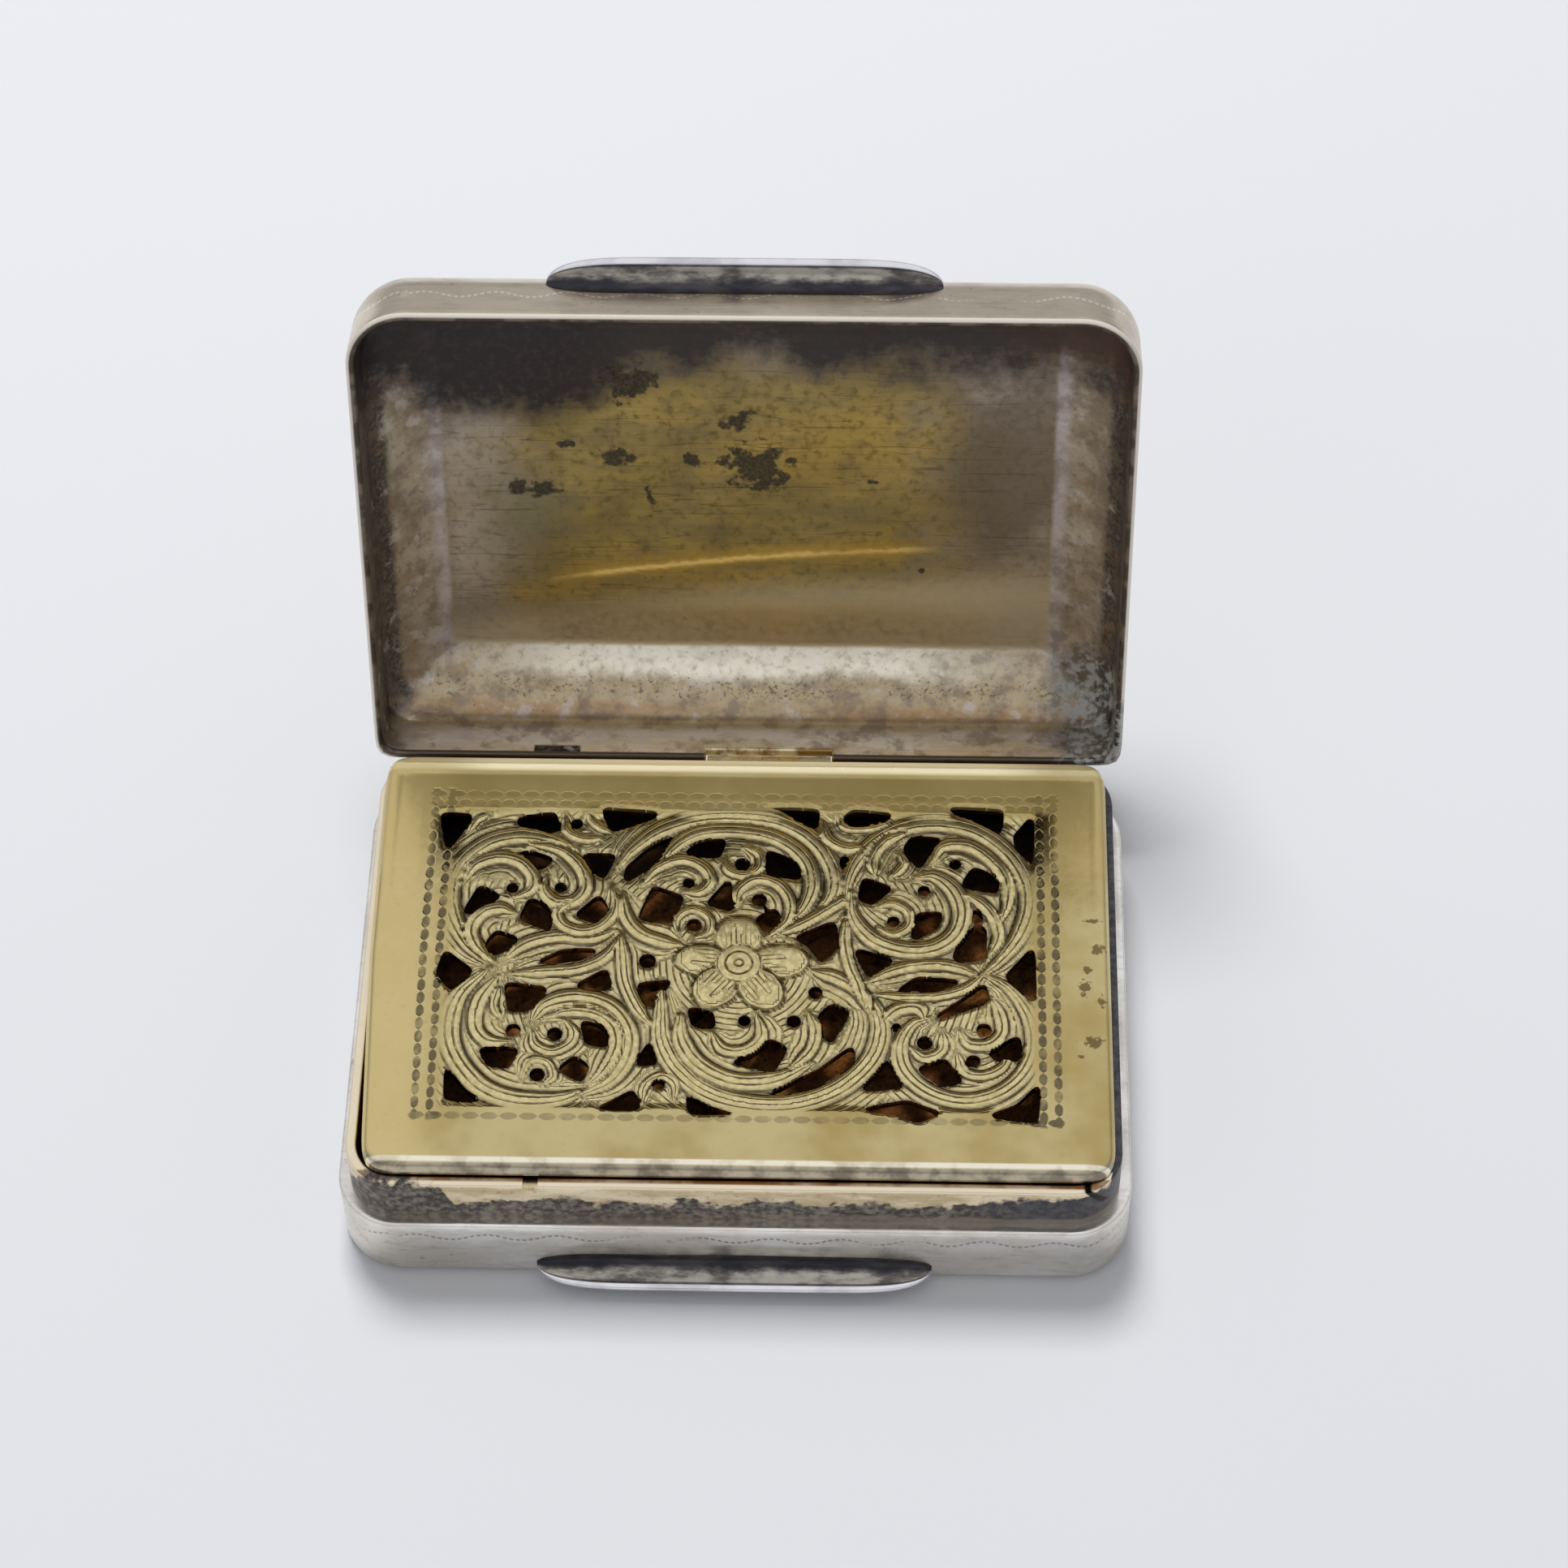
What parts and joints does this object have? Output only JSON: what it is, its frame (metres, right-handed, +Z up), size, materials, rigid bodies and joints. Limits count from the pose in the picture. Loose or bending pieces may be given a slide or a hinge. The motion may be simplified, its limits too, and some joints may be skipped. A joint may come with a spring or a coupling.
{
  "type": "vinaigrette",
  "caption": "Small hinged silver box for a scented sponge, with an inner gilt grille pierced and engraved with foliate scrolls, and thumb lips on lid and base.",
  "frame": {"origin": "middle of the flat underside of the base", "axes": "+X along the width to the right as seen from the front, +Y towards the hinge, +Z up"},
  "size_m": [0.032, 0.0338, 0.0262],
  "materials": {
    "silver": "worn polished silver with grey tarnish",
    "worn_silver": "tarnished silver at the hinge",
    "gilt": "gilt silver, engraved and lightly worn",
    "worn_gilt": "gilt silver, worn through and tarnished",
    "sponge": "dried natural sponge"
  },
  "bodies": {
    "base": {"base_pan": "silver", "base_bezel": "worn_gilt", "base_thumb_lip": "silver", "base_joint_strip": "worn_silver", "base_knuckle_far_left": "worn_silver", "base_knuckle_left": "worn_silver", "base_knuckle_right": "worn_silver", "base_knuckle_far_right": "worn_silver", "hinge_pin": "worn_silver", "pin_plug_left": "worn_silver", "pin_plug_right": "worn_silver", "sponge": "sponge"},
    "grille": {"grille_plate": "gilt", "grille_flange": "worn_gilt", "grille_strap": "gilt"},
    "lid": {"lid_pan": "silver", "lid_thumb_lip": "silver", "lid_joint_strip_left": "worn_silver", "lid_joint_strip_right": "worn_silver", "lid_knuckle_left": "worn_silver", "lid_knuckle_right": "worn_silver"}
  },
  "joints": [
    {"name": "grille_hinge", "type": "hinge", "parent": "base", "child": "grille", "pos_m": [0, 0.0116, 0.0042], "axis": [-1, 0, 0], "range_deg": [0, 70]},
    {"name": "lid_hinge", "type": "hinge", "parent": "grille", "child": "lid", "pos_m": [0, 0.0116, 0.0042], "axis": [-1, 0, 0], "range_deg": [-107, 0]}
  ]
}
